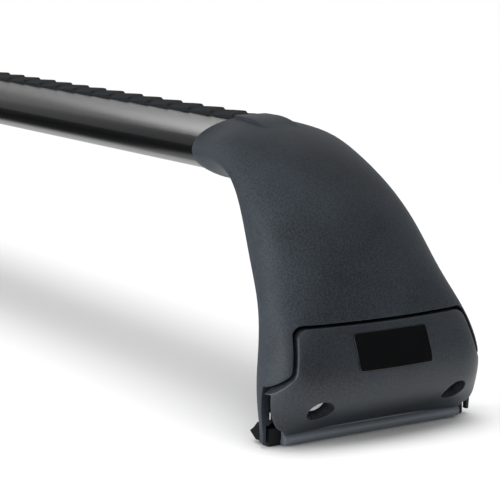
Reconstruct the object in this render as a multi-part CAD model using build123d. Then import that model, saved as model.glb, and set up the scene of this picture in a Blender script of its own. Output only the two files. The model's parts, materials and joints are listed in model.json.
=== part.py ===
from build123d import *
from math import cos, sin, pi, radians, sqrt
import os

# Driving dimensions, in millimetres and degrees.
# The leg is drawn in its collar's frame: origin on the bar's axis at the bar's end,
# X outward along the bar, Z up. It is then moved to the bar's end and mirrored.
# Levels of the clamp block are written as heights above the gutter's floor.
bar_length = 1100.0
bar_half_width = 33.4
bar_half_height = 14.4
bar_nose = 7.5
bar_wall = 2.0
axis_height = 123.5

# Top channel of the bar and the rubber strip that fills its mouth.
strip_width = 18.6
strip_top = 16.0
strip_seat = 13.4
channel_width = 23.0
channel_depth = 9.0
channel_mouth = 12.0
strip_fit = 0.15
rib_pitch = 14.5
rib_height = 1.1
rib_slant = 41.0
groove_width = 8.0

# Leg moulding.
leg_proud = 0.7
band_run = 10.0
band_radius = 60.0
leg_wall = 4.0
leg_rib = 3.0
leg_foot_half = 59.6
cheek_wall = 4.0
band_depth = 14.0
pocket_start = 46.0
pocket_reach = 14.0
rib_half_spacing = 17.0
cross_rib = 81.5 - axis_height
tongue_length = 70.0
tongue_fit = 0.3
touch = 0.01
shoulder_drop = 79.0
block_height = 44.5
block_inset = 4.7
far = 160.0

# Clamp cover and the plain plate on it.
cover_wall = 3.0
cover_gap = 1.5
cover_top = 55.0 - axis_height
cover_top_inset = 13.4
cover_top_half = leg_foot_half - cover_top_inset
cover_waist = 35.2 - axis_height
cover_waist_inset = 8.9
cover_waist_half = leg_foot_half - cover_waist_inset
cover_wing = 26.0 - axis_height
wing_inset = 1.0
cover_wing_half = leg_foot_half - wing_inset
cover_corner = 6.0
cover_edge = 0.8
leg_edge = 0.3
cover_foot = 6.2 - axis_height
wing_back = 110.5
cavity_front = 106.5
cavity_wall = 3.5
plate_width = 41.0
plate_height = 16.7
plate_middle = 43.3 - axis_height
plate_thick = 1.2
plate_proud = 0.4
plate_corner = 1.6
plate_fit = 0.1

# Clamp bolts: a common axis direction, tipped down and outward.
bolt_tip_angle = 33.0
bolt_inset = 21.8
bolt_half_spacing = leg_foot_half - bolt_inset
mouth_x = 118.5
mouth_z = 18.2 - axis_height
bolt_recess = 4.0
bolt_radius = 3.0
head_radius = 5.0
head_height = 6.0
hex_across = 5.0
hex_depth = 3.0
washer_radius = 6.0
washer_thick = 1.2
bolt_length = 23.0
recess_radius = 6.6
sleeve_wall = 1.3
shank_fit = 0.4
thread_fit = 0.05

# Clamp jaw, an extrusion with a bead along its foot.
jaw_thick = 3.5
jaw_inset = 9.9
jaw_half_width = leg_foot_half - jaw_inset
jaw_up = 8.0
jaw_down = 8.5
jaw_stop = 1.6
jaw_face = 105.5
jaw_web = 2.4
bead_height = 5.0
jaw_foot = 0.9 - axis_height
bead_bulge = 1.8
toe_reach = 0.6
toe_height = 1.8
jaw_clear = 0.5

# Nut bar behind the leg's wall.
nut_bar_thick = 5.0
nut_bar_width = 14.0
nut_overhang = 8.2
nut_bar_half = bolt_half_spacing + nut_overhang
nut_bar_fit = 0.3
wall_at_nut = 5.0

# Gutter foot, its rubber pad and its screws.
foot_inset = 2.6
foot_half = leg_foot_half - foot_inset
foot_face = 102.5
foot_ledge = 10.5 - axis_height
foot_tip_x = 90.6
foot_tip_z = 5.1 - axis_height
flange_face = 97.0
flange_thick = 3.0
flange_top = 21.5 - axis_height
flange_inset = 11.6
flange_half = leg_foot_half - flange_inset
pad_thick = 2.0
pad_inset = 1.6
pad_half = foot_half - pad_inset
pad_toe = 98.5
foot_fit = 0.5
foot_screw_radius = 2.5
foot_screw_head = 4.6
foot_screw_high = 2.6
foot_screw_length = 6.2
foot_screw_spacing = 30.0
foot_screw_z = 16.0 - axis_height

# Screws through the bar's floor into the leg's tongue.
bar_screw_radius = 3.0
bar_screw_head = 5.2
bar_screw_length = 9.0
bar_screw_at = (-20.0, -52.0)
screw_fit = 0.3


def shoulder(x, z):
    """A point of the leg's shoulder: what lies below the bar's axis stretches with the leg's height."""
    return (x, z if z > 0 else z * (axis_height - block_height) / shoulder_drop)


def flank(share):
    """Half the leg's width at a share of its flare from the collar to the foot."""
    return collar_half + share * (leg_foot_half - collar_half)


def above_floor(x, height):
    """A point of the clamp block, at a height above the gutter's floor."""
    return (x, height - axis_height)


# Sections of the leg from the collar to the foot. Each one gives the flank's back edge (x, z),
# the crown (x, z), half the width, the outline's power, the belly and how creased its back edge is.
collar_half = bar_half_width + leg_proud
collar_high = bar_half_height + leg_proud
sections = [
    (shoulder(0.0, 0.0), shoulder(0.0, collar_high), collar_half, 2.0, collar_high, 1.0),
    (shoulder(17.0, -1.4), shoulder(20.0, 14.3), flank(0.02), 2.1, 14.6, 1.1),
    (shoulder(39.7, -8.6), shoulder(48.5, 8.2), flank(0.098), 2.4, 11.5, 1.4),
    (shoulder(58.0, -26.0), shoulder(75.5, -5.0), flank(0.263), 2.7, 7.5, 1.8),
    (shoulder(72.5, -43.8), shoulder(95.5, -24.2), flank(0.447), 3.0, 5.0, 2.0),
    (shoulder(86.0, -61.5), shoulder(110.4, -48.0), flank(0.6235), 3.3, 4.0, 2.0),
    (above_floor(94.3, block_height), above_floor(120.6, 51.5), leg_foot_half - block_inset, 6.0, 4.0, 2.0),
    (above_floor(98.7, 29.5), above_floor(127.6, 30.5), leg_foot_half - wing_inset, 4.8, 4.5, 2.0),
    (above_floor(101.3, 17.0), above_floor(122.0, 17.0), leg_foot_half, 4.0, 5.0, 2.0),
    (above_floor(102.6, 2.5), above_floor(108.2, 2.5), leg_foot_half, 4.0, 5.0, 2.0),
]
section_points = 9

bolt_in = Vector(-cos(radians(bolt_tip_angle)), 0, sin(radians(bolt_tip_angle)))
bolt_up = Vector(sin(radians(bolt_tip_angle)), 0, cos(radians(bolt_tip_angle)))
mouth = Vector(mouth_x, 0, mouth_z)
seat_depth = bolt_recess + head_height + washer_thick
wall_front = seat_depth + jaw_thick + jaw_stop
nut_seat = wall_front + wall_at_nut
cavity_back = flange_face + cavity_wall
cavity_half = leg_foot_half - cheek_wall


def section_wire(back_edge, crown, half_width, power, belly, crease, inset, open_back):
    """One closed outline of the leg: a crowned outer curve and a flatter back curve."""
    edge_x, edge_z = back_edge
    run = Vector(crown[0] - edge_x, 0, crown[1] - edge_z)
    rise = run.length - inset
    out = run.normalized()
    half = half_width - inset
    depth = belly + open_back
    outer = []
    inner = []
    for i in range(section_points):
        turn = pi * i / (section_points - 1)
        side = sqrt(max(0.0, 1.0 - sin(turn) ** power))
        side = side if turn < pi / 2 else -side
        level = Vector(edge_x, half * side, edge_z)
        outer.append(level + out * (rise * sin(turn)))
        level = Vector(edge_x, half * cos(turn), edge_z)
        inner.append(level - out * (depth * sin(turn) ** crease))
    return Wire([Spline(*outer), Spline(*inner)])


def leg_skin(inset=0.0, open_back=0.0):
    """The leg's outer form, or the same form drawn in by a wall."""
    wires = []
    for back_edge, crown, half_width, power, belly, crease in sections:
        wires.append(section_wire(back_edge, crown, half_width, power, belly, crease, inset, open_back))
    return Solid.make_loft(wires)


def prism_y(points, half):
    """A side outline in X and Z, extruded evenly to both sides of the leg's middle."""
    outline = make_face(Polyline([(x, z) for x, z in points], close=True))
    return extrude(Plane.XZ * outline, half, both=True)


def block(x_low, x_high, half, z_low, z_high):
    return Pos((x_low + x_high) / 2, 0, (z_low + z_high) / 2) * Box(
        x_high - x_low, 2 * half, z_high - z_low)


def along_bolt(depth, rise, y=0.0):
    """A point at a depth below the cover's mouth, a rise across the bolt's axis and a side place."""
    return mouth + bolt_in * depth + bolt_up * rise + Vector(0, y, 0)


def bolt_rod(radius, start, end, y):
    """A round rod on a bolt's axis between two depths."""
    plane = Plane(origin=along_bolt(start, 0, y), x_dir=(0, 1, 0), z_dir=bolt_in)
    return extrude(plane * Circle(radius), end - start)


def flat(point):
    return (point.X, point.Z)


def oval(inset):
    """The bar's aero outline drawn in by a wall: two shallow arcs joined by round noses."""
    half = bar_half_width - inset
    high = bar_half_height - inset
    nose = bar_nose - inset
    reach = half - nose
    shallow = (reach ** 2 + high ** 2 - nose ** 2) / (2 * (high - nose))
    drop = shallow - high
    lean = Vector(reach, drop).normalized()
    y = reach + nose * lean.X
    z = nose * lean.Y
    return make_face([
        ThreePointArc((-y, z), (0, high), (y, z)), ThreePointArc((y, z), (half, 0), (y, -z)),
        ThreePointArc((y, -z), (0, -high), (-y, -z)), ThreePointArc((-y, -z), (-half, 0), (-y, z))])


def bar_section():
    """The bar's hollow aero section, with a channel under its top, on the YZ plane."""
    outer = oval(0)
    tall = 2 * bar_half_height
    outer -= Pos(0, strip_seat + tall / 2) * Rectangle(strip_width + 2 * strip_fit, tall)
    hollow = oval(bar_wall)
    lip = strip_seat - bar_wall
    floor = lip - channel_depth
    casing = channel_width + 2 * bar_wall
    hollow -= Pos(0, floor - bar_wall + tall / 2) * Rectangle(casing, tall)
    for side in (-1, 1):
        hollow -= Pos(side * (channel_width + bar_wall) / 2, 0) * Rectangle(bar_wall, tall)
    channel = Pos(0, lip - channel_depth / 2) * Rectangle(channel_width, channel_depth)
    slot = Pos(0, strip_seat) * Rectangle(channel_mouth, 2 * channel_depth)
    return outer - hollow - channel - (slot & Pos(0, lip + tall / 2) * Rectangle(channel_mouth, tall))


def lower_chamber(fit):
    """The bar's middle chamber, which the leg's tongue enters."""
    hollow = oval(bar_wall + fit)
    ceiling = strip_seat - 2 * bar_wall - channel_depth - fit
    width = channel_width - 2 * fit
    window = Pos(0, ceiling - bar_half_height) * Rectangle(width, 2 * bar_half_height)
    return hollow & window


def crossbar():
    bar = extrude(Plane.YZ * bar_section(), bar_length / 2, both=True)
    for at in bar_screw_at:
        hole = Pos(bar_length / 2, 0, 0) * bar_screw(at, screw_fit)
        bar -= hole
        bar -= mirror(hole, Plane.YZ)
    return bar


def rubber_strip():
    """The strip's cap on the bar's seat, its stem in the mouth and slanted saw-tooth grooves in its top."""
    cap_high = strip_top - strip_seat
    lip = strip_seat - bar_wall
    section = Pos(0, strip_seat + cap_high / 2) * Rectangle(strip_width, cap_high)
    stem = channel_mouth - 2 * strip_fit
    section += Pos(0, (lip + strip_seat) / 2) * Rectangle(stem, bar_wall)
    barb = (channel_mouth + channel_width) / 2
    section += Pos(0, lip - strip_fit - bar_wall / 2) * Rectangle(barb, bar_wall)
    section += Pos(0, lip - strip_fit / 2) * Rectangle(stem, 2 * strip_fit)
    strip = extrude(Plane.YZ * section, bar_length / 2, both=True)
    run = groove_width * cos(radians(rib_slant))
    notch = prism_y([(0, rib_height), (0, -rib_height), (run, 0), (run, rib_height)], 2 * strip_width)
    groove = Pos(0, 0, strip_top) * Rot(0, 0, rib_slant) * notch
    count = int((bar_length - 2 * strip_width) / rib_pitch)
    grooves = [Pos((i - (count - 1) / 2) * rib_pitch, 0, 0) * groove for i in range(count)]
    return strip - grooves


def cover_outline(gap):
    """The clamp cover's front outline, seen along the bar, on the YZ plane."""
    low = -2 * axis_height
    wide = 2 * cover_wing_half
    half = [(cover_top_half + gap, cover_top + gap), (cover_waist_half + gap, cover_waist + gap / 2),
            (cover_wing_half + gap, cover_wing + gap), (wide, cover_wing + gap), (wide, low)]
    other = [(-y, z) for y, z in reversed(half)]
    face = make_face(Polyline(half + other, close=True))
    corners = face.vertices().filter_by_position(Axis.Y, cover_wing - gap, cover_top + 2 * cover_corner)
    rounded = [v for v in corners if abs(v.X) < cover_wing_half + cover_corner]
    return fillet(rounded, cover_corner)


def cover_prism(gap, x_low):
    plane = Plane(origin=(x_low, 0, 0), x_dir=(0, 1, 0), z_dir=(1, 0, 0))
    return extrude(plane * cover_outline(gap), far)


def lies_on(point, faces):
    return min(face.distance_to(point) for face in faces) < touch


def rim_edges(body, skin, prism):
    """The edges where a prism's sides cut through the leg's skin."""
    sides = [face for face in prism.faces() if abs(face.normal_at().X) < touch]
    rim = [edge for edge in body.edges() if lies_on(edge.position_at(0.5), skin.faces())]
    return [edge for edge in rim if lies_on(edge.position_at(0.5), sides)]


def leg_band():
    """The raised band that carries the strip's line over the leg's shoulder and sinks into it."""
    crest = Pos(band_run, strip_top - band_radius) * Circle(band_radius)
    crest += Pos(0, strip_top) * Rectangle(band_run, band_radius, align=(Align.MIN, Align.MAX))
    crest &= Pos(0, strip_top) * Rectangle(far, band_depth, align=(Align.MIN, Align.MAX))
    return extrude(Plane.XZ * crest, strip_width / 2, both=True)


def leg_pockets():
    """Open pockets in the leg's back, parted by ribs."""
    pocket_floor = cover_top + 2 * leg_wall
    hollow = leg_skin(leg_wall, pocket_reach) & block(pocket_start, far, far, pocket_floor, far)
    for y in (-rib_half_spacing, rib_half_spacing):
        hollow -= Pos(0, y, 0) * Box(2 * far, leg_rib, 2 * far)
    return hollow - Pos(0, 0, cross_rib) * Box(2 * far, 2 * far, leg_rib)


def clamp_opening():
    """The room in the leg's front for the cover and, deeper between the cheeks, for the jaw."""
    middle = along_bolt(wall_front, 0).X
    top = along_bolt(wall_front, (cavity_front - middle) / bolt_up.X)
    bottom = along_bolt(wall_front, (cavity_back - middle) / bolt_up.X)
    side = [(cavity_front, cover_top + leg_wall), flat(top), flat(bottom), (cavity_back, -far),
            (far, -far), (far, cover_top + leg_wall)]
    deep = cover_prism(cover_gap, 0) & prism_y(side, cavity_half)
    return deep + cover_prism(cover_gap, cavity_front - cover_gap)


def leg_tongue():
    root = Plane(origin=(leg_wall, 0, 0), x_dir=(0, -1, 0), z_dir=(-1, 0, 0))
    return extrude(root * lower_chamber(tongue_fit), tongue_length + leg_wall)


def leg_housing():
    """The leg moulding: skin, band, tongue, back pockets, clamp opening and seat for the foot."""
    skin = leg_skin()
    leg = skin + leg_band() - leg_pockets()
    leg += block(flange_face, cavity_back, flange_half, foot_ledge, flange_top)
    leg -= clamp_opening()
    leg = fillet(rim_edges(leg, skin, cover_prism(cover_gap, 0)), leg_edge)
    leg -= block(0, far, foot_half + foot_fit, -far, foot_ledge)
    leg -= block(0, flange_face, flange_half + foot_fit, -far, flange_top + foot_fit)
    recess = Plane(origin=along_bolt(nut_seat, 0), x_dir=(0, 1, 0), z_dir=bolt_in)
    wide = 2 * (nut_bar_half + nut_bar_fit)
    leg -= extrude(recess * Rectangle(wide, nut_bar_width + 2 * nut_bar_fit), far)
    for y in (-bolt_half_spacing, bolt_half_spacing):
        leg -= bolt_rod(bolt_radius + shank_fit, 0, nut_seat + nut_bar_thick, y)
    for y in foot_screw_places():
        leg -= foot_rod(foot_screw_radius + thread_fit, flange_face, cavity_back + leg_wall, y)
    leg += leg_tongue()
    for at in bar_screw_at:
        leg -= bar_screw(at, thread_fit)
    return leg


def foot_screw_places():
    return (-foot_screw_spacing, 0.0, foot_screw_spacing)


def foot_rod(radius, start, end, y):
    plane = Plane(origin=(start, y, foot_screw_z), x_dir=(0, 1, 0), z_dir=(1, 0, 0))
    return extrude(plane * Circle(radius), end - start)


def bar_screw(at, fit):
    """A countersunk screw in the bar's floor, or the room for one with a fit to spare."""
    cone = Cone(bar_screw_head + fit, bar_screw_radius + fit, bar_wall + fit, align=(
        Align.CENTER, Align.CENTER, Align.MIN))
    shank = Cylinder(bar_screw_radius + fit, bar_screw_length + fit, align=(
        Align.CENTER, Align.CENTER, Align.MIN))
    return Pos(at, 0, -bar_half_height) * (cone + shank)


def gutter_foot():
    """The fixed wedge that stands in the gutter, with a flange screwed to the leg's back."""
    sole = pad_thick - axis_height
    slope = (pad_toe - foot_tip_x) / (foot_tip_z + axis_height)
    heel = foot_tip_x + slope * (foot_tip_z - sole)
    back = flange_face - flange_thick
    wedge = [(foot_tip_x, foot_tip_z), (back, foot_ledge - flange_thick), (flange_face, foot_ledge),
             (foot_face, foot_ledge), (foot_face, sole), (heel, sole)]
    foot = prism_y(wedge, foot_half)
    foot += block(back, flange_face, flange_half, foot_ledge - flange_thick, flange_top)
    for y in foot_screw_places():
        foot -= foot_rod(foot_screw_radius + screw_fit, back, flange_face, y)
    return foot


def foot_pad():
    """The rubber that lines the foot's sole and the face that presses on the gutter's lip."""
    sole = pad_thick - axis_height
    outer = foot_face + pad_thick
    side = [(foot_face, foot_ledge - pad_thick), (outer, foot_ledge - pad_thick),
            (outer, sole - pad_thick / 2), (outer - pad_thick / 2, -axis_height),
            (pad_toe, -axis_height), (pad_toe, sole), (foot_face, sole)]
    return prism_y(side, pad_half)


def foot_screws():
    back = flange_face - flange_thick
    screws = []
    for y in foot_screw_places():
        screw = foot_rod(foot_screw_radius, back, back + foot_screw_length, y)
        head = foot_rod(foot_screw_head, back - foot_screw_high, back, y)
        screws.append(screw + chamfer(head.edges().group_by(Axis.X)[0], foot_screw_high / 3))
    return Compound(screws)


def bar_screws():
    return Compound([bar_screw(at, 0) for at in bar_screw_at])


def clamp_jaw():
    """The moving jaw: a plate square to the bolts, a web down its front and a bead with a toe."""
    front = seat_depth
    rear = seat_depth + jaw_thick
    outer = jaw_face + jaw_web
    knee = along_bolt(rear, -jaw_down)
    shin = along_bolt(front, -jaw_down)
    knee_z = knee.Z - (jaw_face - knee.X)
    shin_z = shin.Z - (outer - shin.X)
    bead_top = jaw_foot + bead_height
    toe = jaw_face - toe_reach
    outline = Polyline((outer, bead_top), (outer, shin_z), flat(shin), flat(along_bolt(front, jaw_up)),
                       flat(along_bolt(rear, jaw_up)), flat(knee), (jaw_face, knee_z),
                       (jaw_face, jaw_foot + toe_height + toe_reach), (toe, jaw_foot + toe_height),
                       (toe, jaw_foot), (outer, jaw_foot))
    bead = ThreePointArc((outer, jaw_foot), (outer + bead_bulge, jaw_foot + bead_height / 2),
                         (outer, bead_top))
    jaw = extrude(Plane.XZ * make_face([outline, bead]), jaw_half_width, both=True)
    for y in (-bolt_half_spacing, bolt_half_spacing):
        jaw -= bolt_rod(bolt_radius + shank_fit, 0, 2 * rear, y)
    return jaw


def plate_prism(fit):
    face = Pos(0, plate_middle) * RectangleRounded(
        plate_width + 2 * fit, plate_height + 2 * fit, plate_corner + fit)
    return extrude(Plane(origin=(cavity_front, 0, 0), x_dir=(0, 1, 0), z_dir=(1, 0, 0)) * face, far)


def skin_shifted(shift):
    return leg_skin().moved(Location((shift, 0, 0)))


def clamp_cover():
    """The cover: a thin shell of the leg's own form, with sleeves that seat on the jaw."""
    skin = leg_skin()
    prism = cover_prism(0, cavity_front + jaw_clear)
    cover = (skin - leg_skin(cover_wall)) & prism
    cover &= block(0, far, far, cover_foot, far - axis_height)
    cover = fillet(rim_edges(cover, skin, prism), cover_edge)
    for side in (-1, 1):
        cheek = Pos(0, side * (jaw_half_width + jaw_clear), cover_wing)
        cheek *= Box(2 * wing_back, far, far, align=(Align.CENTER, Align.MIN if side > 0 else Align.MAX,
                                                     Align.MAX))
        cover -= cheek
    web = jaw_face + jaw_web + jaw_clear
    cover -= block(0, web, jaw_half_width + 2 * jaw_clear, -far, along_bolt(seat_depth, -jaw_down).Z)
    for y in (-bolt_half_spacing, bolt_half_spacing):
        cover += bolt_rod(recess_radius + sleeve_wall, 0, seat_depth, y) & skin
    for y in (-bolt_half_spacing, bolt_half_spacing):
        cover -= bolt_rod(recess_radius, -seat_depth, seat_depth, y)
    return cover - (plate_prism(plate_fit) - skin_shifted(plate_proud - plate_thick))


def name_plate():
    return (skin_shifted(plate_proud) & plate_prism(0)) - skin_shifted(plate_proud - plate_thick)


def bolt_washers():
    washers = []
    for y in (-bolt_half_spacing, bolt_half_spacing):
        ring = bolt_rod(washer_radius, seat_depth - washer_thick, seat_depth, y)
        washers.append(ring - bolt_rod(bolt_radius + shank_fit / 2, 0, 2 * seat_depth, y))
    return Compound(washers)


def clamp_bolt(y):
    """A low socket head bolt, its head in the cover's recess and its shank through the nut bar."""
    under = bolt_recess + head_height
    head = bolt_rod(head_radius, bolt_recess, under, y)
    top = head.edges().filter_by(GeomType.CIRCLE).sort_by(lambda e: (e.center() - mouth).dot(bolt_in))[0]
    bolt = chamfer(top, head_radius / 10) + bolt_rod(bolt_radius, under, under + bolt_length, y)
    plane = Plane(origin=along_bolt(bolt_recess, 0, y), x_dir=(0, 1, 0), z_dir=bolt_in)
    return bolt - extrude(plane * RegularPolygon(hex_across / 2, 6, major_radius=False), hex_depth)


def nut_bar():
    seat = Plane(origin=along_bolt(nut_seat, 0), x_dir=(0, 1, 0), z_dir=bolt_in)
    bar = extrude(seat * Rectangle(2 * nut_bar_half, nut_bar_width), nut_bar_thick)
    for y in (-bolt_half_spacing, bolt_half_spacing):
        bar -= bolt_rod(bolt_radius + thread_fit, 0, 3 * seat_depth, y)
    return bar


os.makedirs("parts", exist_ok=True)
lift = Pos(0, 0, axis_height)
export_step(lift * crossbar(), "parts/crossbar.step")
export_step(lift * rubber_strip(), "parts/rubber_strip.step")
leg_pieces = {
    "leg_housing": leg_housing(),
    "gutter_foot": gutter_foot(),
    "foot_pad": foot_pad(),
    "foot_screws": foot_screws(),
    "bar_screws": bar_screws(),
    "clamp_jaw": clamp_jaw(),
    "clamp_cover": clamp_cover(),
    "name_plate": name_plate(),
    "bolt_washers": bolt_washers(),
    "clamp_bolt_front": clamp_bolt(-bolt_half_spacing),
    "clamp_bolt_rear": clamp_bolt(bolt_half_spacing),
    "nut_bar": nut_bar(),
}
for name, piece in leg_pieces.items():
    right = Pos(bar_length / 2, 0, axis_height) * piece
    export_step(right, f"parts/{name}_right.step")
    export_step(mirror(right, Plane.YZ), f"parts/{name}_left.step")
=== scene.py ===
import bpy
import bmesh
import json
import math
from mathutils import Matrix, Vector

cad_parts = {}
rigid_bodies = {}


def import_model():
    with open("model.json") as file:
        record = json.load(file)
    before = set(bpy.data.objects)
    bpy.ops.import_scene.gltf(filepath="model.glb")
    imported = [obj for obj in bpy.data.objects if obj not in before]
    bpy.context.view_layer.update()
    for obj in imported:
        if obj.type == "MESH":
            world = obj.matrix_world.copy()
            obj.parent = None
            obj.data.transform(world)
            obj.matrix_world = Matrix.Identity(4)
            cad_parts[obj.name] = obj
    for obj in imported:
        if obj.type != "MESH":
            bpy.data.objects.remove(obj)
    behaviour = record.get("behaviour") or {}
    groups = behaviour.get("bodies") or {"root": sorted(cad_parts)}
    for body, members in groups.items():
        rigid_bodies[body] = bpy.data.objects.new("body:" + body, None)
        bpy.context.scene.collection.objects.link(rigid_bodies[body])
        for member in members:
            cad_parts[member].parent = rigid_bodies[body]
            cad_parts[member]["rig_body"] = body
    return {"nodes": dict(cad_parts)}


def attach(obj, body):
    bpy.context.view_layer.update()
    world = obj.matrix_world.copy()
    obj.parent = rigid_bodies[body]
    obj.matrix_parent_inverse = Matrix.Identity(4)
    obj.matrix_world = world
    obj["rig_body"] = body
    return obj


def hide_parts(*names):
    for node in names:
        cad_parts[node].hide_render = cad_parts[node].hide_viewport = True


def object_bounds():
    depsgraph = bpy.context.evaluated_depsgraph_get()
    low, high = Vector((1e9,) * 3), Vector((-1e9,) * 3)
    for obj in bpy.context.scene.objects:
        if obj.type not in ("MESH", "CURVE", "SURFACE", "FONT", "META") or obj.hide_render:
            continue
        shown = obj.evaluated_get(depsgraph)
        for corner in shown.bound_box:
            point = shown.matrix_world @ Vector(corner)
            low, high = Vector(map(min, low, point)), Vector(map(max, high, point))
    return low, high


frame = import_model()
nodes = frame["nodes"]
cadLow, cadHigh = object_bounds()
mm = 0.001
print("frame loaded:", len(nodes), "nodes")


# small helpers for node trees
def addNode(tree, kind, sockets=None, **settings):
    node = tree.nodes.new(kind)
    for key, value in settings.items():
        setattr(node, key, value)
    for key, value in (sockets or {}).items():
        if isinstance(value, bpy.types.NodeSocket):
            tree.links.new(value, node.inputs[key])
        else:
            node.inputs[key].default_value = value
    return node


def addMath(tree, operation, *values):
    node = addNode(tree, "ShaderNodeMath", dict(enumerate(values)), operation=operation)
    return node.outputs[0]


def mixColours(tree, factor, first, second):
    sockets = {0: factor, 6: first, 7: second}  # colour sockets of the Mix node
    node = addNode(tree, "ShaderNodeMix", sockets, data_type="RGBA", clamp_factor=True)
    return node.outputs[2]


def spread(tree, value, low, high, fromLow=0.0, fromHigh=1.0):
    sockets = {"Value": value, "From Min": fromLow, "From Max": fromHigh, "To Min": low, "To Max": high}
    return addNode(tree, "ShaderNodeMapRange", sockets, clamp=True).outputs["Result"]


def startGroup(name, inputs, outputs):
    tree = bpy.data.node_groups.new(name, "ShaderNodeTree")
    for label, value in inputs.items():
        socket = tree.interface.new_socket(label, in_out="INPUT", socket_type="NodeSocketFloat")
        socket.default_value = value
    for label, kind in outputs.items():
        tree.interface.new_socket(label, in_out="OUTPUT", socket_type="NodeSocket" + kind)
    return tree, tree.nodes.new("NodeGroupInput").outputs, tree.nodes.new("NodeGroupOutput").inputs


def useGroup(tree, group, **values):
    node = addNode(tree, "ShaderNodeGroup", node_tree=group)
    for label, value in values.items():
        node.inputs[label].default_value = value
    return node.outputs


# effects that several finishes share
def makeMouldGrain():
    tree, given, out = startGroup("mouldGrain", {"Grain": 2400.0, "Blotch": 35.0},
                                  {"Height": "Float", "Blotch": "Float"})
    place = addNode(tree, "ShaderNodeTexCoord").outputs["Object"]
    pebble = addNode(tree, "ShaderNodeTexVoronoi", {"Vector": place, "Scale": given["Grain"]},
                     feature="SMOOTH_F1")
    finer = addMath(tree, "MULTIPLY", given["Grain"], 1.9)
    speckle = addNode(tree, "ShaderNodeTexNoise", {"Vector": place, "Scale": finer, "Detail": 2.0})
    cloud = addNode(tree, "ShaderNodeTexNoise", {"Vector": place, "Scale": given["Blotch"], "Detail": 4.0})
    height = addMath(tree, "MULTIPLY_ADD", speckle.outputs["Fac"], 0.6, pebble.outputs["Distance"])
    tree.links.new(height, out["Height"])
    coarser = addMath(tree, "MULTIPLY", given["Grain"], 0.75)
    fleck = addNode(tree, "ShaderNodeTexNoise", {"Vector": place, "Scale": coarser, "Detail": 1.0})
    soft = spread(tree, cloud.outputs["Fac"], 0.0, 0.4, 0.3, 0.7)
    sharp = spread(tree, fleck.outputs["Fac"], 0.0, 0.6, 0.32, 0.68)
    tree.links.new(addMath(tree, "ADD", soft, sharp), out["Blotch"])
    return tree


def makeSoftEdge():
    tree, given, out = startGroup("softEdge", {"Radius": 0.0005, "Patch": 260.0},
                                  {"Normal": "Vector", "EdgeHighlightMask": "Float"})
    rounded = addNode(tree, "ShaderNodeBevel", {"Radius": given["Radius"]}, samples=8)
    flat = addNode(tree, "ShaderNodeNewGeometry").outputs["Normal"]
    dot = addNode(tree, "ShaderNodeVectorMath", {0: rounded.outputs[0], 1: flat}, operation="DOT_PRODUCT")
    # edge mask broken up by noise lays the look's rub tone along rounded edges: a painted edge highlight
    edge = spread(tree, dot.outputs["Value"], 1.0, 0.0, 0.86, 0.995)
    place = addNode(tree, "ShaderNodeTexCoord").outputs["Object"]
    patch = addNode(tree, "ShaderNodeTexNoise", {"Vector": place, "Scale": given["Patch"], "Detail": 3.0})
    highlightBreakup = spread(tree, patch.outputs["Fac"], 0.35, 1.0, 0.35, 0.65)
    tree.links.new(rounded.outputs[0], out["Normal"])
    tree.links.new(addMath(tree, "MULTIPLY", edge, highlightBreakup), out["EdgeHighlightMask"])
    return tree


def makeDrawnLines():
    tree, given, out = startGroup("drawnLines", {"Across": 900.0, "Along": 6.0}, {"Lines": "Float"})
    place = addNode(tree, "ShaderNodeTexCoord").outputs["Object"]
    scale = addNode(tree, "ShaderNodeCombineXYZ", {0: given["Along"], 1: given["Across"], 2: given["Across"]})
    stretched = addNode(tree, "ShaderNodeVectorMath", {0: place, 1: scale.outputs[0]}, operation="MULTIPLY")
    lines = addNode(tree, "ShaderNodeTexNoise", {"Vector": stretched.outputs[0], "Scale": 1.0, "Detail": 3.0})
    tree.links.new(lines.outputs["Fac"], out["Lines"])
    return tree


mouldGrain = makeMouldGrain()
softEdge = makeSoftEdge()
drawnLines = makeDrawnLines()


# finishes
def startMaterial(name, **plain):
    material = bpy.data.materials.new(name)
    material.use_nodes = True
    tree = material.node_tree
    shader = tree.nodes["Principled BSDF"]
    for label, value in plain.items():
        shader.inputs[label].default_value = value
    return material, tree, shader.inputs


def finishSurface(look):
    material, tree, surface = startMaterial(look["name"], **look.get("plain", {}))
    edge = useGroup(tree, softEdge, Radius=look["edge"])
    grain = useGroup(tree, mouldGrain, Grain=look["grain"], Blotch=look["blotch"])
    height = grain["Height"]
    tone = grain["Blotch"]
    if "drawn" in look:  # extruded or rolled metal shows lines along the bar
        lines = useGroup(tree, drawnLines, Across=look["drawn"], Along=look["along"])["Lines"]
        height = addMath(tree, "MULTIPLY_ADD", lines, look["drawnShare"], height)
        tone = addMath(tree, "MULTIPLY_ADD", tone, 0.5, addMath(tree, "MULTIPLY", lines, 0.5))
    colour = mixColours(tree, tone, look["deep"], look["pale"])
    # the rub tone mixed in along edges is a painted edge highlight
    tree.links.new(mixColours(tree, edge["EdgeHighlightMask"], colour, look["edgeHighlightTone"]), surface["Base Color"])
    tree.links.new(spread(tree, tone, look["gloss"][0], look["gloss"][1]), surface["Roughness"])
    bump = addNode(tree, "ShaderNodeBump", {"Strength": look["bump"], "Distance": look["deepness"],
                                            "Height": height, "Normal": edge["Normal"]})
    tree.links.new(bump.outputs[0], surface["Normal"])
    return material


def grey(value, tint=0.0):
    return (value * (1 - tint), value, value * (1 + 1.2 * tint), 1.0)


def gleam(level):
    return {"Specular IOR Level": level}


# rub tones are painted edge highlights; on the jaw the tone comes out darker than its raised base
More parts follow.
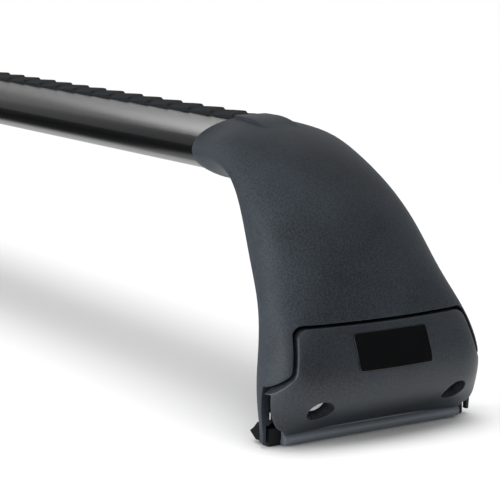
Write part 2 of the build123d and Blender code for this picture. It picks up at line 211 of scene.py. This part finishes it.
legLook = {"name": "legPlastic", "deep": grey(0.018, 0.20), "pale": grey(0.054, 0.20),
           "edgeHighlightTone": grey(0.064, 0.16),
           "gloss": (0.44, 0.54), "edge": 0.0006, "grain": 1700.0, "blotch": 30.0, "bump": 1.0,
           "deepness": 0.00007, "plain": gleam(0.20)}
# cover: the leg's plastic, glossier, with its deep and pale colours darkened as painted shade
coverLook = dict(legLook, name="coverPlastic", gloss=(0.38, 0.46), deep=grey(0.012, 0.22),
                 pale=grey(0.042, 0.22), plain=gleam(0.42))
barLook = {"name": "barBlack", "deep": grey(0.003, 0.10), "pale": grey(0.004, 0.10), "edgeHighlightTone": grey(0.020),
           "gloss": (0.23, 0.29), "edge": 0.0004, "grain": 1500.0, "blotch": 14.0, "bump": 0.05,
           "deepness": 0.00002, "drawn": 900.0, "along": 3.0, "drawnShare": 1.5, "plain": gleam(0.20)}
stripLook = {"name": "stripRubber", "deep": grey(0.016, 0.12), "pale": grey(0.022, 0.12),
             "edgeHighlightTone": grey(0.034, 0.10),
             "gloss": (0.76, 0.86), "edge": 0.0004, "grain": 3500.0, "blotch": 60.0, "bump": 0.3,
             "deepness": 0.00005, "plain": gleam(0.12)}
padLook = dict(stripLook, name="padRubber")
plateLook = {"name": "plateBlack", "deep": grey(0.003, 0.10), "pale": grey(0.005, 0.10), "edgeHighlightTone": grey(0.080),
             "gloss": (0.10, 0.16), "edge": 0.0005, "grain": 1200.0, "blotch": 90.0, "bump": 0.02,
             "deepness": 0.00002, "plain": gleam(0.45)}
# the jaw is black; its deep and pale colours are raised to a mid grey, a painted highlight standing in for
# the light along the rail's top
jawLook = {"name": "jawBlack", "deep": grey(0.130, 0.15), "pale": grey(0.150, 0.15), "edgeHighlightTone": grey(0.10, 0.10),
           "gloss": (0.28, 0.36), "edge": 0.0003, "grain": 1800.0, "blotch": 40.0, "bump": 0.12,
           "deepness": 0.00003, "plain": gleam(0.55)}
footLook = dict(jawLook, name="footBlack", gloss=(0.40, 0.50), deep=grey(0.002, 0.1), pale=grey(0.003, 0.1),
                plain=gleam(0.06))
screwLook = dict(footLook, name="screwBlack", gloss=(0.30, 0.40))
boltLook = {"name": "boltSteel", "deep": grey(0.55), "pale": (0.72, 0.69, 0.64, 1.0), "edgeHighlightTone": grey(0.85),
            "gloss": (0.24, 0.34), "edge": 0.0003, "grain": 3000.0, "blotch": 300.0, "bump": 0.1,
            "deepness": 0.00002, "plain": {"Metallic": 1.0}}
nutLook = dict(boltLook, name="nutSteel", deep=grey(0.40), pale=grey(0.50), gloss=(0.36, 0.46))

finishes = {
    "bar_black": finishSurface(barLook),
    "strip_rubber": finishSurface(stripLook),
    "leg_plastic": finishSurface(legLook),
    "cover_plastic": finishSurface(coverLook),
    "plate_black": finishSurface(plateLook),
    "jaw_black": finishSurface(jawLook),
    "foot_black": finishSurface(footLook),
    "pad_rubber": finishSurface(padLook),
    "screw_black": finishSurface(screwLook),
    "bolt_steel": finishSurface(boltLook),
    "nut_steel": finishSurface(nutLook),
}
print("finishes made:", len(finishes))


# pieces that keep the solid's own form, merged and softly shaded
nodeSlots = {"crossbar": "bar_black", "leg_housing": "leg_plastic", "gutter_foot": "foot_black",
             "foot_pad": "pad_rubber", "foot_screws": "screw_black", "bar_screws": "screw_black",
             "clamp_jaw": "jaw_black", "clamp_cover": "cover_plastic", "name_plate": "plate_black",
             "bolt_washers": "bolt_steel", "clamp_bolt_front": "bolt_steel", "clamp_bolt_rear": "bolt_steel",
             "nut_bar": "nut_steel", "rubber_strip": "strip_rubber"}
shade = {"weld": 0.000002, "crease": math.radians(32)}


def slotOf(nodeName):
    plain = nodeName.removesuffix("_right").removesuffix("_left")
    return nodeSlots[plain]


def addPiece(name, mesh, nodeName):
    piece = bpy.data.objects.new(name, mesh)
    bpy.context.scene.collection.objects.link(piece)
    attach(piece, nodes[nodeName]["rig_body"])
    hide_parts(nodeName)
    return piece


def smoothMesh(source, mesh, crease=shade["crease"]):
    shape = bmesh.new()
    shape.from_mesh(source)
    bmesh.ops.remove_doubles(shape, verts=shape.verts, dist=shade["weld"])
    bmesh.ops.recalc_face_normals(shape, faces=shape.faces)
    for face in shape.faces:
        face.smooth = True
    for edge in shape.edges:
        edge.smooth = edge.calc_face_angle(math.pi) < crease
    shape.to_mesh(mesh)
    shape.free()


def softCopy(nodeName):
    mesh = bpy.data.meshes.new(nodeName + "_skin")
    smoothMesh(nodes[nodeName].data, mesh)
    mesh.materials.append(finishes[slotOf(nodeName)])
    return addPiece(nodeName + "_piece", mesh, nodeName)


pieces = {}
grown = ("rubber_strip", "clamp_bolt")  # repeated forms, grown further down
for nodeName in sorted(nodes):
    if not nodeName.startswith(grown):
        pieces[nodeName] = softCopy(nodeName)
print("soft copies made")


# forms that repeat, grown with geometry nodes
def startShape(name, inputs):
    tree = bpy.data.node_groups.new(name, "GeometryNodeTree")
    for label, kind in inputs.items():
        tree.interface.new_socket(label, in_out="INPUT", socket_type="NodeSocket" + kind)
    tree.interface.new_socket("Shape", in_out="OUTPUT", socket_type="NodeSocketGeometry")
    return tree, tree.nodes.new("NodeGroupInput").outputs, tree.nodes.new("NodeGroupOutput").inputs


def endShape(tree, geometry, finish, out):
    welded = addNode(tree, "GeometryNodeMergeByDistance", {"Geometry": geometry, "Distance": shade["weld"]})
    whole = addNode(tree, "GeometryNodeRealizeInstances", {"Geometry": welded.outputs[0]})
    coated = addNode(tree, "GeometryNodeSetMaterial", {"Geometry": whole.outputs[0], "Material": finish})
    tree.links.new(coated.outputs[0], out["Shape"])


def pickFrom(tree, index, values):
    node = addNode(tree, "GeometryNodeIndexSwitch", data_type="FLOAT")
    while len(node.index_switch_items) < len(values):
        node.index_switch_items.new()
    tree.links.new(index, node.inputs["Index"])
    for socket, value in zip(list(node.inputs)[1:], values):
        socket.default_value = value
    return node.outputs[0]


def gridPlace(tree, rows):
    index = addNode(tree, "GeometryNodeInputIndex").outputs[0]
    column = addMath(tree, "FLOOR", addMath(tree, "DIVIDE", addMath(tree, "ADD", index, 0.5), rows))
    row = addMath(tree, "SUBTRACT", index, addMath(tree, "MULTIPLY", column, rows))
    return column, row


def movePoints(tree, geometry, x, y, z):
    place = addNode(tree, "ShaderNodeCombineXYZ", {0: x, 1: y, 2: z}).outputs[0]
    return addNode(tree, "GeometryNodeSetPosition", {"Geometry": geometry, "Position": place}).outputs[0]


def growMesh(name, tree, values, crease):
    holder = bpy.data.objects.new(name, bpy.data.meshes.new(name + "_start"))
    bpy.context.scene.collection.objects.link(holder)
    modifier = holder.modifiers.new("shape", "NODES")
    modifier.node_group = tree
    for item in tree.interface.items_tree:
        if item.in_out == "INPUT":
            modifier[item.identifier] = values[item.name]
    mesh = bpy.data.meshes.new_from_object(holder.evaluated_get(bpy.context.evaluated_depsgraph_get()))
    holder.modifiers.clear()
    bpy.data.objects.remove(holder)
    smoothMesh(mesh, mesh, crease)
    if not mesh.materials:
        mesh.materials.append(values["Finish"])
    print(name, "grown:", len(mesh.polygons), "faces")
    return mesh


# rubber strip with slanted teeth that fade towards its crown
strip = {"half": 550.0 * mm, "width": 18.6 * mm, "pitch": 22.0 * mm, "slant": math.tan(math.radians(41)),
         "rise": 1.2 * mm, "crown": 0.20 * mm, "turn": 0.25 * mm, "rows": 13, "teeth": 53,
         "share": (0.0, 0.10, 0.50, 0.92), "lift": (1.0, 0.0, 0.52, 0.97), "fade": 0.25,
         "stem": (11.7 * mm, 2.3 * mm), "barb": (17.5 * mm, 2.0 * mm),
         "top": 139.5 * mm, "seat": 136.9 * mm}


def makeStripShape():
    tree, given, out = startShape("toothedStrip", {"Teeth": "Int", "Pitch": "Float", "Slant": "Float",
                                                   "Rise": "Float", "Width": "Float", "Half": "Float",
                                                   "Seat": "Float", "Top": "Float", "Finish": "Material"})
    rows, steps = strip["rows"], len(strip["share"])
    columns = addMath(tree, "MULTIPLY", given["Teeth"], steps)
    grid = addNode(tree, "GeometryNodeMeshGrid", {"Vertices X": columns, "Vertices Y": rows}).outputs[0]
    column, row = gridPlace(tree, rows)
    tooth = addMath(tree, "FLOOR", addMath(tree, "DIVIDE", addMath(tree, "ADD", column, 0.5), steps))
    step = addMath(tree, "SUBTRACT", column, addMath(tree, "MULTIPLY", tooth, steps))
    edge = addMath(tree, "SUBTRACT", addMath(tree, "DIVIDE", row, (rows - 1) / 2), 1.0)
    across = addMath(tree, "MULTIPLY", edge, addMath(tree, "DIVIDE", given["Width"], 2.0))
    middle = addMath(tree, "DIVIDE", given["Teeth"], 2.0)
    reached = addMath(tree, "ADD", tooth, pickFrom(tree, step, strip["share"]))
    count = addMath(tree, "SUBTRACT", reached, middle)
    skew = addMath(tree, "MULTIPLY", across, given["Slant"])
    along = addMath(tree, "SUBTRACT", addMath(tree, "MULTIPLY", count, given["Pitch"]), skew)
    past = addMath(tree, "GREATER_THAN", addMath(tree, "ABSOLUTE", along), given["Half"])
    inside = addMath(tree, "SUBTRACT", 1.0, past)
    reach = addMath(tree, "MULTIPLY", given["Half"], -1.0)
    along = addMath(tree, "MAXIMUM", addMath(tree, "MINIMUM", along, given["Half"]), reach)
    edge = addMath(tree, "ABSOLUTE", edge)
    lift = addMath(tree, "MULTIPLY", pickFrom(tree, step, strip["lift"]), inside)
    depth = addMath(tree, "MULTIPLY", given["Rise"], spread(tree, edge, strip["fade"], 1.0))
    sunk = addMath(tree, "MULTIPLY", depth, addMath(tree, "SUBTRACT", 1.0, lift))
    crown = addMath(tree, "MULTIPLY", addMath(tree, "POWER", edge, 2.0), strip["crown"])
    turn = addMath(tree, "MULTIPLY", addMath(tree, "POWER", edge, 14.0), strip["turn"])
    drop = addMath(tree, "ADD", sunk, addMath(tree, "ADD", crown, turn))
    height = addMath(tree, "SUBTRACT", given["Top"], drop)
    kept = addNode(tree, "GeometryNodeStoreNamedAttribute",
                   {"Geometry": grid, "Name": "height", "Value": height},
                   data_type="FLOAT", domain="POINT").outputs[0]
    base = movePoints(tree, kept, along, across, given["Seat"])
    raised = addNode(tree, "GeometryNodeExtrudeMesh", {"Mesh": base, "Offset Scale": mm, "Individual": False},
                     mode="FACES").outputs
    found = addNode(tree, "GeometryNodeInputPosition").outputs[0]
    spot = addNode(tree, "ShaderNodeSeparateXYZ", {0: found}).outputs
    stored = addNode(tree, "GeometryNodeInputNamedAttribute", {"Name": "height"},
                     data_type="FLOAT").outputs[0]
    place = addNode(tree, "ShaderNodeCombineXYZ", {0: spot[0], 1: spot[1], 2: stored}).outputs[0]
    topped = addNode(tree, "GeometryNodeSetPosition", {"Geometry": raised["Mesh"], "Selection": raised["Top"],
                                                      "Position": place}).outputs[0]
    under = addNode(tree, "GeometryNodeFlipFaces", {"Mesh": base}).outputs[0]
    both = addNode(tree, "GeometryNodeJoinGeometry")
    tree.links.new(topped, both.inputs[0])
    tree.links.new(under, both.inputs[0])
    level = strip["seat"]
    for wide, tall in (strip["stem"], strip["barb"]):  # stem in the bar's mouth, barb below its lips
        size = addNode(tree, "ShaderNodeCombineXYZ", {0: addMath(tree, "MULTIPLY", given["Half"], 2.0),
                                                     1: wide, 2: tall}).outputs[0]
        block = addNode(tree, "GeometryNodeMeshCube", {"Size": size}).outputs[0]
        hung = addNode(tree, "GeometryNodeTransform", {"Geometry": block,
                                                      "Translation": (0.0, 0.0, level - tall / 2)}).outputs[0]
        tree.links.new(hung, both.inputs[0])
        level -= strip["stem"][1] - 0.15 * mm
    endShape(tree, both.outputs[0], given["Finish"], out)
    return tree


stripMesh = growMesh("toothedStrip", makeStripShape(), {
    "Teeth": strip["teeth"], "Pitch": strip["pitch"], "Slant": strip["slant"], "Rise": strip["rise"],
    "Width": strip["width"], "Half": strip["half"], "Seat": strip["seat"], "Top": strip["top"],
    "Finish": finishes["strip_rubber"]}, math.radians(26))
addPiece("rubber_strip_piece", stripMesh, "rubber_strip")

# socket head bolts with knurled heads and turned threads
bolt = {"angles": 144, "knurls": 36, "knurl": 0.22 * mm, "hex": 2.5 * mm, "pitch": 1.0 * mm,
        "groove": 0.55 * mm,
        "rings": 150, "tip": 33.0,
        "radius": (0.0, 0.0, 0.0, 0.25, 4.4, 4.75, 5.0, 5.0, 4.75, 4.75, 3.0),
        "depth": (3.6, 3.0, 0.25, 0.0, 0.0, 0.1, 0.45, 5.5, 5.75, 6.0, 6.0),
        "isHex": (0, 1, 1, 1, 0, 0, 0, 0, 0, 0, 0), "isKnurl": (0, 0, 0, 0, 0, 0, 1, 1, 0, 0, 0)}


def makeBoltShape():
    tree, given, out = startShape("socketBolt", {"Knurls": "Int", "Pitch": "Float", "Length": "Float",
                                                 "Finish": "Material"})
    rows, turns, head = bolt["angles"] + 1, bolt["rings"], len(bolt["radius"])
    columns = head + turns + 2
    grid = addNode(tree, "GeometryNodeMeshGrid", {"Vertices X": columns, "Vertices Y": rows}).outputs[0]
    column, row = gridPlace(tree, rows)
    angle = addMath(tree, "MULTIPLY", row, 2 * math.pi / bolt["angles"])
    station = addMath(tree, "MINIMUM", column, float(head - 1))
    radius = addMath(tree, "MULTIPLY", pickFrom(tree, station, bolt["radius"]), mm)
    depth = addMath(tree, "MULTIPLY", pickFrom(tree, station, bolt["depth"]), mm)
    sixth = addMath(tree, "PINGPONG", addMath(tree, "ADD", angle, math.pi / 6), math.pi / 6)
    lean = addMath(tree, "COSINE", addMath(tree, "SUBTRACT", math.pi / 6, sixth))
    flat = addMath(tree, "DIVIDE", bolt["hex"], lean)
    hexed = addMath(tree, "MULTIPLY", flat, pickFrom(tree, station, bolt["isHex"]))
    share = addMath(tree, "DIVIDE", row, float(bolt["angles"]))
    ridge = addMath(tree, "PINGPONG", addMath(tree, "MULTIPLY", share, given["Knurls"]), 0.5)
    cut = addMath(tree, "MULTIPLY", addMath(tree, "MULTIPLY", ridge, 2 * bolt["knurl"]),
                  pickFrom(tree, station, bolt["isKnurl"]))
    along = spread(tree, column, 0.0, 1.0, float(head), float(head + turns - 1))
    reach = addMath(tree, "MULTIPLY", along, given["Length"])
    coil = addMath(tree, "SUBTRACT", addMath(tree, "DIVIDE", reach, given["Pitch"]), share)
    wave = addMath(tree, "PINGPONG", addMath(tree, "ADD", coil, 8.0), 0.5)
    onShank = addMath(tree, "GREATER_THAN", column, float(head) - 0.5)
    groove = addMath(tree, "MULTIPLY", addMath(tree, "MULTIPLY", wave, 2 * bolt["groove"]), onShank)
    solid = addMath(tree, "SUBTRACT", addMath(tree, "ADD", radius, hexed), addMath(tree, "ADD", cut, groove))
    closed = addMath(tree, "GREATER_THAN", column, head + turns - 0.5)
    solid = addMath(tree, "MULTIPLY", solid, addMath(tree, "SUBTRACT", 1.0, closed))
    x = addMath(tree, "MULTIPLY", solid, addMath(tree, "COSINE", angle))
    y = addMath(tree, "MULTIPLY", solid, addMath(tree, "SINE", angle))
    endShape(tree, movePoints(tree, grid, x, y, addMath(tree, "ADD", depth, reach)), given["Finish"], out)
    return tree


def placeBolt(nodeName, shape):
    side = -1.0 if nodeName.endswith("_left") else 1.0
    tip = math.radians(bolt["tip"])
    inward = Vector((-side * math.cos(tip), 0.0, math.sin(tip)))
    axes = (Vector((0.0, 1.0, 0.0)).cross(inward), Vector((0.0, 1.0, 0.0)), inward)
    points = [vertex.co for vertex in nodes[nodeName].data.vertices]
    spans = [[point.dot(axis) for point in points] for axis in axes]
    middles = [(min(span) + max(span)) / 2 for span in spans[:2]]
    centre = axes[0] * middles[0] + axes[1] * middles[1] + inward * min(spans[2])
    length = max(spans[2]) - min(spans[2]) - bolt["depth"][-1] * mm
    mesh = growMesh(nodeName + "_turned", shape, {"Knurls": bolt["knurls"], "Pitch": bolt["pitch"],
                                                  "Length": length, "Finish": finishes["bolt_steel"]},
                    math.radians(24))
    mesh.materials.append(finishes["screw_black"])  # oiled thread below the bright head
    for face in mesh.polygons:
        face.material_index = int(face.center.z > bolt["depth"][-1] * mm)
    place = Matrix((axes[0], axes[1], axes[2])).transposed().to_4x4()
    place.translation = centre
    mesh.transform(place)
    addPiece(nodeName + "_piece", mesh, nodeName)


boltShape = makeBoltShape()
for nodeName in sorted(nodes):
    if nodeName.startswith("clamp_bolt"):
        placeBolt(nodeName, boltShape)
print("strip and bolts grown")


# floor, light and camera
def makeFloor():
    floor = {"half": 30.0, "albedo": 0.80, "lift": 0.02}
    mesh = bpy.data.meshes.new("floor")
    signs = ((-1, -1), (1, -1), (1, 1), (-1, 1))
    corners = [(x * floor["half"], y * floor["half"], cadLow.z) for x, y in signs]
    mesh.from_pydata(corners, [], [(0, 1, 2, 3)])
    material = bpy.data.materials.new("paleFloor")
    material.use_nodes = True
    tree = material.node_tree
    tree.nodes.clear()
    matte = addNode(tree, "ShaderNodeBsdfDiffuse", {"Color": grey(floor["albedo"])})
    glow = addNode(tree, "ShaderNodeEmission", {"Color": grey(1.0), "Strength": floor["lift"]})
    dark = addNode(tree, "ShaderNodeEmission", {"Color": grey(0.0), "Strength": 0.0})
    path = addNode(tree, "ShaderNodeLightPath").outputs
    seen = addMath(tree, "MAXIMUM", path["Is Camera Ray"],
                   addMath(tree, "MAXIMUM", path["Is Glossy Ray"], path["Is Transmission Ray"]))
    lift = addNode(tree, "ShaderNodeMixShader", {0: seen, 1: dark.outputs[0], 2: glow.outputs[0]})
    both = addNode(tree, "ShaderNodeAddShader", {0: matte.outputs[0], 1: lift.outputs[0]})
    addNode(tree, "ShaderNodeOutputMaterial", {"Surface": both.outputs[0]})
    mesh.materials.append(material)
    plane = bpy.data.objects.new("floor", mesh)
    bpy.context.scene.collection.objects.link(plane)
    return plane


def makeWorld():
    sky = {"seen": 1.0, "mirrored": 0.60, "light": 0.50}
    world = bpy.data.worlds.new("studio")
    bpy.context.scene.world = world
    world.use_nodes = True
    tree = world.node_tree
    tree.nodes.clear()
    path = addNode(tree, "ShaderNodeLightPath").outputs
    seen = addMath(tree, "MAXIMUM", path["Is Camera Ray"], path["Is Transmission Ray"])
    offset = addMath(tree, "MULTIPLY", path["Is Glossy Ray"], sky["mirrored"] - sky["light"])
    strength = addMath(tree, "ADD", offset, spread(tree, seen, sky["light"], sky["seen"]))
    back = addNode(tree, "ShaderNodeBackground", {"Color": grey(1.0), "Strength": strength})
    addNode(tree, "ShaderNodeOutputWorld", {"Surface": back.outputs[0]})


def lightOnly(holder, lit):  # the light falls on the named pieces alone
    group = bpy.data.collections.new(holder.name + "Lit")
    for piece in lit:
        group.objects.link(piece)
    holder.light_linking.receiver_collection = group


def addLamp(lamp):
    data = bpy.data.lights.new(lamp["name"], "AREA")
    data.shape = "RECTANGLE"
    data.size, data.size_y = lamp["size"]
    data.energy = lamp["watts"]
    holder = bpy.data.objects.new(lamp["name"], data)
    holder.location = lamp["place"]
    aim = Vector(lamp["aim"]) - Vector(lamp["place"])
    holder.rotation_euler = aim.to_track_quat("-Z", "Y").to_euler()
    holder.visible_camera = False
    bpy.context.scene.collection.objects.link(holder)
    if "onto" in lamp:
        lightOnly(holder, lamp["onto"])


def addFlag(flag):  # black card, seen only in reflections
    low = cadLow.z + 1 * mm
    corners = [(x, y, low + rise) for x, y, rise in flag["corners"]]
    mesh = bpy.data.meshes.new(flag["name"])
    mesh.from_pydata(corners, [], flag["faces"])
    material = bpy.data.materials.new(flag["name"])
    material.use_nodes = True
    material.node_tree.nodes["Principled BSDF"].inputs["Base Color"].default_value = grey(flag["tone"])
    mesh.materials.append(material)
    card = bpy.data.objects.new(flag["name"], mesh)
    card.visible_camera = False
    card.visible_diffuse = False
    card.visible_shadow = False
    bpy.context.scene.collection.objects.link(card)


def addSun(sun):
    data = bpy.data.lights.new(sun["name"], "SUN")
    data.energy = sun["strength"]
    data.angle = math.radians(sun["spread"])
    holder = bpy.data.objects.new(sun["name"], data)
    holder.rotation_euler = Vector(sun["towards"]).to_track_quat("-Z", "Y").to_euler()
    bpy.context.scene.collection.objects.link(holder)
    if "onto" in sun:
        lightOnly(holder, sun["onto"])


def addCamera():
    shot = {"place": (1.349457, -0.501645, 0.236072), "azimuth": 57.9, "elevation": 9.97, "lens": 135.65}
    turn, tip = math.radians(shot["azimuth"]), math.radians(shot["elevation"])
    look = Vector((-math.sin(turn) * math.cos(tip), math.cos(turn) * math.cos(tip), -math.sin(tip)))
    data = bpy.data.cameras.new("camera")
    data.lens = shot["lens"]
    data.sensor_width = 36.0
    data.clip_start = 0.05
    data.clip_end = 100.0
    camera = bpy.data.objects.new("camera", data)
    camera.location = shot["place"]
    camera.rotation_euler = look.to_track_quat("-Z", "Y").to_euler()
    bpy.context.scene.collection.objects.link(camera)
    bpy.context.scene.camera = camera


floorPlane = makeFloor()
makeWorld()
barFold = ((-0.025, 0), (-0.28, 0), (-0.28, 0.20))
addFlag({"name": "barFlag", "tone": 0.01, "faces": [(0, 1, 4, 3), (1, 2, 5, 4)],
         "corners": [(x, y, rise) for x in (-0.90, 0.30) for y, rise in barFold]})
addFlag({"name": "coverFlag", "tone": 0.03, "faces": [(0, 1, 2, 3)],
         "corners": [(1.50, -0.36, 0.0), (1.04, 0.816, 0.0), (1.04, 0.816, 0.70), (1.50, -0.36, 0.70)]})
addSun({"name": "floorSun", "towards": (0.0, -0.02, -1.0), "spread": 50.0, "strength": 2.0,
        "onto": [floorPlane]})
addSun({"name": "overhead", "towards": (-0.35, 0.15, -1.0), "spread": 60.0, "strength": 0.28})
addLamp({"name": "backSoftbox", "place": (-2.99, 1.47, 2.70), "aim": (0.42, 0.0, 0.12), "size": (1.54, 1.32),
         "watts": 34.0, "onto": [pieces["crossbar"]]})
addLamp({"name": "leftFill", "place": (0.45, -1.30, 0.40), "aim": (0.62, 0.0, 0.07), "size": (0.8, 0.5),
         "watts": 12.0})
lowPieces = [piece for name, piece in pieces.items() if name.startswith(("clamp_cover", "clamp_jaw"))]
addLamp({"name": "lowFill", "place": (1.00, 0.20, 0.03), "aim": (0.67, 0.0, 0.03), "size": (0.4, 0.2),
         "watts": 0.15, "onto": lowPieces})
addCamera()
bpy.context.scene.view_settings.view_transform = "Standard"
print("floor, light and camera set")
